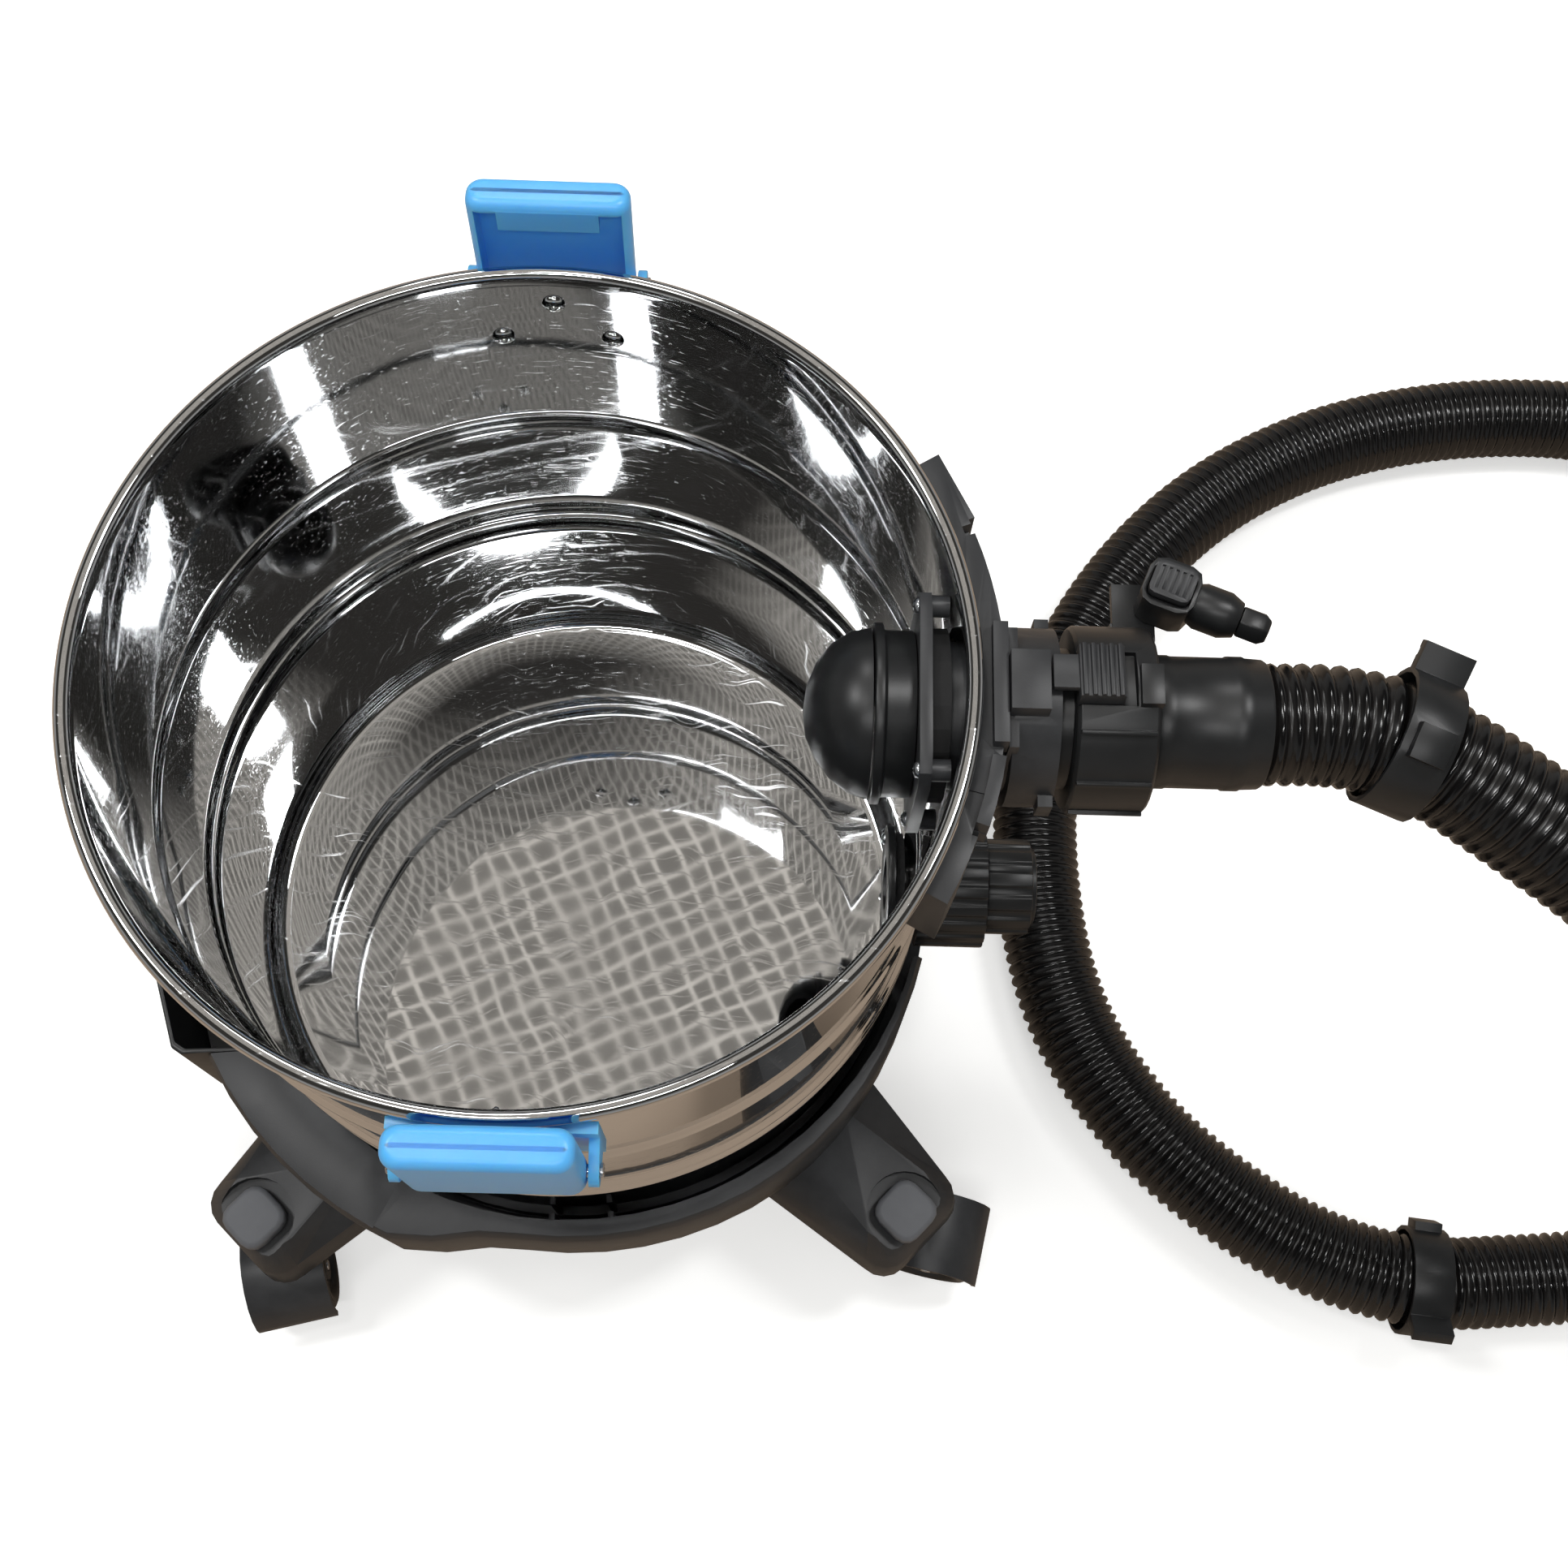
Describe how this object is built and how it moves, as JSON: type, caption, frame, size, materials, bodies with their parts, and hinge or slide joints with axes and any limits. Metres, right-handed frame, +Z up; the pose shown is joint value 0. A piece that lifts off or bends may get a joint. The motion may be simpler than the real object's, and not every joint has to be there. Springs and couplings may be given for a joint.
{
  "type": "wet vacuum cleaner tank unit",
  "caption": "Open stainless wet vacuum tank on a swivel castor base with blue head latches, suction inlet, drain and corrugated hose.",
  "frame": {"origin": "on the floor, under the middle of the machine without its hose", "axes": "+Z up, +X towards the suction inlet and the drain, +Y towards the back latch"},
  "size_m": [1.1004, 0.6269, 0.4765],
  "materials": {
    "mirror_steel": "mirror-polished stainless steel with fine wiping scratches",
    "zinc_steel": "bright zinc-plated steel",
    "grey_plastic": "fine-textured moulded polypropylene, dark grey",
    "black_plastic": "satin moulded polypropylene, black",
    "pad_plastic": "moulded plastic cap, mid grey",
    "blue_plastic": "semi-gloss moulded polyamide, light blue",
    "seal_rubber": "soft black rubber",
    "hose_plastic": "glossy black corrugated polyethylene"
  },
  "bodies": {
    "chassis": {"accessory_pocket": "black_plastic", "base_dish": "grey_plastic", "connector_collar": "black_plastic", "coupler_body": "black_plastic", "coupler_nut": "black_plastic", "coupler_rest": "black_plastic", "drain_nut": "black_plastic", "drain_port": "black_plastic", "drain_seal": "seal_rubber", "hose_clip_high": "black_plastic", "hose_clip_low": "black_plastic", "hose_cuff": "black_plastic", "inlet_cup": "black_plastic", "inlet_deflector": "black_plastic", "inlet_plate": "grey_plastic", "inlet_seal": "seal_rubber", "inlet_socket": "grey_plastic", "inner_flange": "grey_plastic", "latch_bracket_back": "blue_plastic", "latch_bracket_front": "blue_plastic", "latch_pin_back": "zinc_steel", "latch_pin_front": "zinc_steel", "latch_rivet_left_back": "zinc_steel", "latch_rivet_left_front": "zinc_steel", "latch_rivet_right_back": "zinc_steel", "latch_rivet_right_front": "zinc_steel", "latch_rivet_top_back": "zinc_steel", "latch_rivet_top_front": "zinc_steel", "leg_back_left": "grey_plastic", "leg_back_right": "grey_plastic", "leg_cap_back_left": "pad_plastic", "leg_cap_back_right": "pad_plastic", "leg_cap_front_left": "pad_plastic", "leg_cap_front_right": "pad_plastic", "leg_front_left": "grey_plastic", "leg_front_right": "grey_plastic", "suction_hose": "hose_plastic", "tank_shell": "mirror_steel", "tool_cuff": "black_plastic"},
    "castor_front_left": {"castor_hood_front_left": "grey_plastic"},
    "wheels_front_left": {"castor_axle_front_left": "zinc_steel", "castor_wheel_left_front_left": "black_plastic", "castor_wheel_right_front_left": "black_plastic"},
    "castor_front_right": {"castor_hood_front_right": "grey_plastic"},
    "wheels_front_right": {"castor_axle_front_right": "zinc_steel", "castor_wheel_left_front_right": "black_plastic", "castor_wheel_right_front_right": "black_plastic"},
    "castor_back_right": {"castor_hood_back_right": "grey_plastic"},
    "wheels_back_right": {"castor_axle_back_right": "zinc_steel", "castor_wheel_left_back_right": "black_plastic", "castor_wheel_right_back_right": "black_plastic"},
    "castor_back_left": {"castor_hood_back_left": "grey_plastic"},
    "wheels_back_left": {"castor_axle_back_left": "zinc_steel", "castor_wheel_left_back_left": "black_plastic", "castor_wheel_right_back_left": "black_plastic"},
    "latch_lever_back": {"latch_back": "blue_plastic"},
    "latch_lever_front": {"latch_front": "blue_plastic"},
    "connector_release": {"release_button": "grey_plastic"},
    "coupler_release": {"coupler_button": "grey_plastic"},
    "drain_closure": {"drain_cap": "black_plastic"}
  },
  "joints": [
    {"name": "castor_swivel_front_left", "type": "hinge", "parent": "chassis", "child": "castor_front_left", "pos_m": [-0.20233, -0.17802, 0.07], "axis": [0, 0, 1], "continuous": true},
    {"name": "wheel_spin_front_left", "type": "hinge", "parent": "castor_front_left", "child": "wheels_front_left", "pos_m": [-0.197, -0.19936, 0.02462], "axis": [0.9703, 0.2419, 0], "continuous": true},
    {"name": "castor_swivel_front_right", "type": "hinge", "parent": "chassis", "child": "castor_front_right", "pos_m": [0.14112, -0.16603, 0.07], "axis": [0, 0, 1], "continuous": true},
    {"name": "wheel_spin_front_right", "type": "hinge", "parent": "castor_front_right", "child": "wheels_front_right", "pos_m": [0.16264, -0.1706, 0.02462], "axis": [0.2079, 0.9781, 0], "continuous": true},
    {"name": "castor_swivel_back_right", "type": "hinge", "parent": "chassis", "child": "castor_back_right", "pos_m": [0.12913, 0.17742, 0.07], "axis": [0, 0, 1], "continuous": true},
    {"name": "wheel_spin_back_right", "type": "hinge", "parent": "castor_back_right", "child": "wheels_back_right", "pos_m": [0.13665, 0.19809, 0.02462], "axis": [-0.9397, 0.342, 0], "continuous": true},
    {"name": "castor_swivel_back_left", "type": "hinge", "parent": "chassis", "child": "castor_back_left", "pos_m": [-0.21432, 0.16543, 0.07], "axis": [0, 0, 1], "continuous": true},
    {"name": "wheel_spin_back_left", "type": "hinge", "parent": "castor_back_left", "child": "wheels_back_left", "pos_m": [-0.23557, 0.17112, 0.02462], "axis": [-0.2588, -0.9659, 0], "continuous": true},
    {"name": "latch_hinge_back", "type": "hinge", "parent": "chassis", "child": "latch_lever_back", "pos_m": [-0.0366, 0.1907, 0.42], "axis": [-1, 0, 0], "range_deg": [-5.5, 69.5]},
    {"name": "latch_hinge_front", "type": "hinge", "parent": "chassis", "child": "latch_lever_front", "pos_m": [-0.0366, -0.1913, 0.42], "axis": [1, 0, 0], "range_deg": [0, 75]},
    {"name": "release_button_slide", "type": "slide", "parent": "chassis", "child": "connector_release", "axis": [1, 0, 0], "range_m": [0, 0.004], "stiffness_N_per_m": 400},
    {"name": "coupler_button_press", "type": "slide", "parent": "chassis", "child": "coupler_release", "axis": [0.0186, -0.0074, -0.9998], "range_m": [0, 0.002], "stiffness_N_per_m": 400},
    {"name": "drain_cap_turn", "type": "hinge", "parent": "chassis", "child": "drain_closure", "pos_m": [0.1884, -0.0003, 0.155], "axis": [1, 0, 0], "range_deg": [0, 90]}
  ]
}
